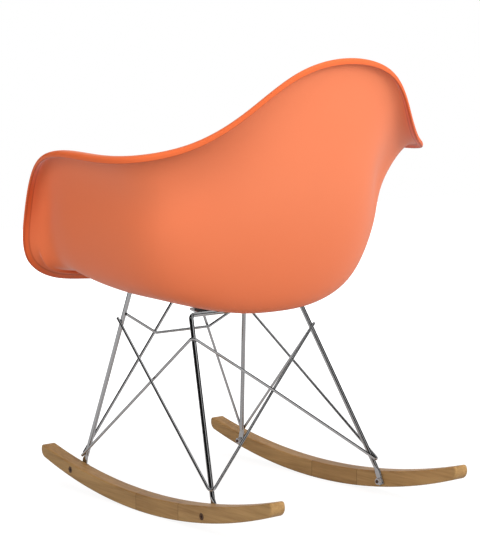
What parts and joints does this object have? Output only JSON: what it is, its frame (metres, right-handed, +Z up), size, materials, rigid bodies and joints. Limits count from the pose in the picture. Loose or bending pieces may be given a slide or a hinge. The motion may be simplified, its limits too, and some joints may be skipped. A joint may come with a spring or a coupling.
{
  "type": "rocking_chair",
  "caption": "Rocking chair with an orange moulded plastic armchair shell on a chromed wire base and light wooden rockers.",
  "frame": {"origin": "on the floor, under the middle of the chair's bounding box", "axes": "+Z up, the sitter faces -Y, +X is to the sitter's left"},
  "size_m": [0.6306, 0.6884, 0.7366],
  "materials": {
    "shell_plastic": "satin, fine moulded grain",
    "rocker_wood": "satin lacquer",
    "chromed_wire": "polished chrome plate",
    "plate_steel": "polished chrome plate",
    "mount_rubber": "matt black",
    "fastener_steel": "zinc plated"
  },
  "bodies": {
    "root": {"seat_shell": "shell_plastic", "left_rocker_front": "rocker_wood", "left_rocker_middle": "rocker_wood", "left_rocker_rear": "rocker_wood", "right_rocker_front": "rocker_wood", "right_rocker_middle": "rocker_wood", "right_rocker_rear": "rocker_wood", "front_leg_frame": "chromed_wire", "rear_leg_frame": "chromed_wire", "left_wrap_brace": "chromed_wire", "right_wrap_brace": "chromed_wire", "front_apex_brace": "chromed_wire", "front_bridge_brace": "chromed_wire", "left_front_mount_plate": "plate_steel", "right_front_mount_plate": "plate_steel", "left_rear_mount_plate": "plate_steel", "right_rear_mount_plate": "plate_steel", "left_front_rubber_mount": "mount_rubber", "right_front_rubber_mount": "mount_rubber", "left_rear_rubber_mount": "mount_rubber", "right_rear_rubber_mount": "mount_rubber", "mount_inserts": "fastener_steel", "mount_washers": "fastener_steel", "mount_screws": "fastener_steel", "rocker_bolts": "fastener_steel", "rocker_washers": "fastener_steel", "rocker_nuts": "fastener_steel"}
  },
  "joints": []
}
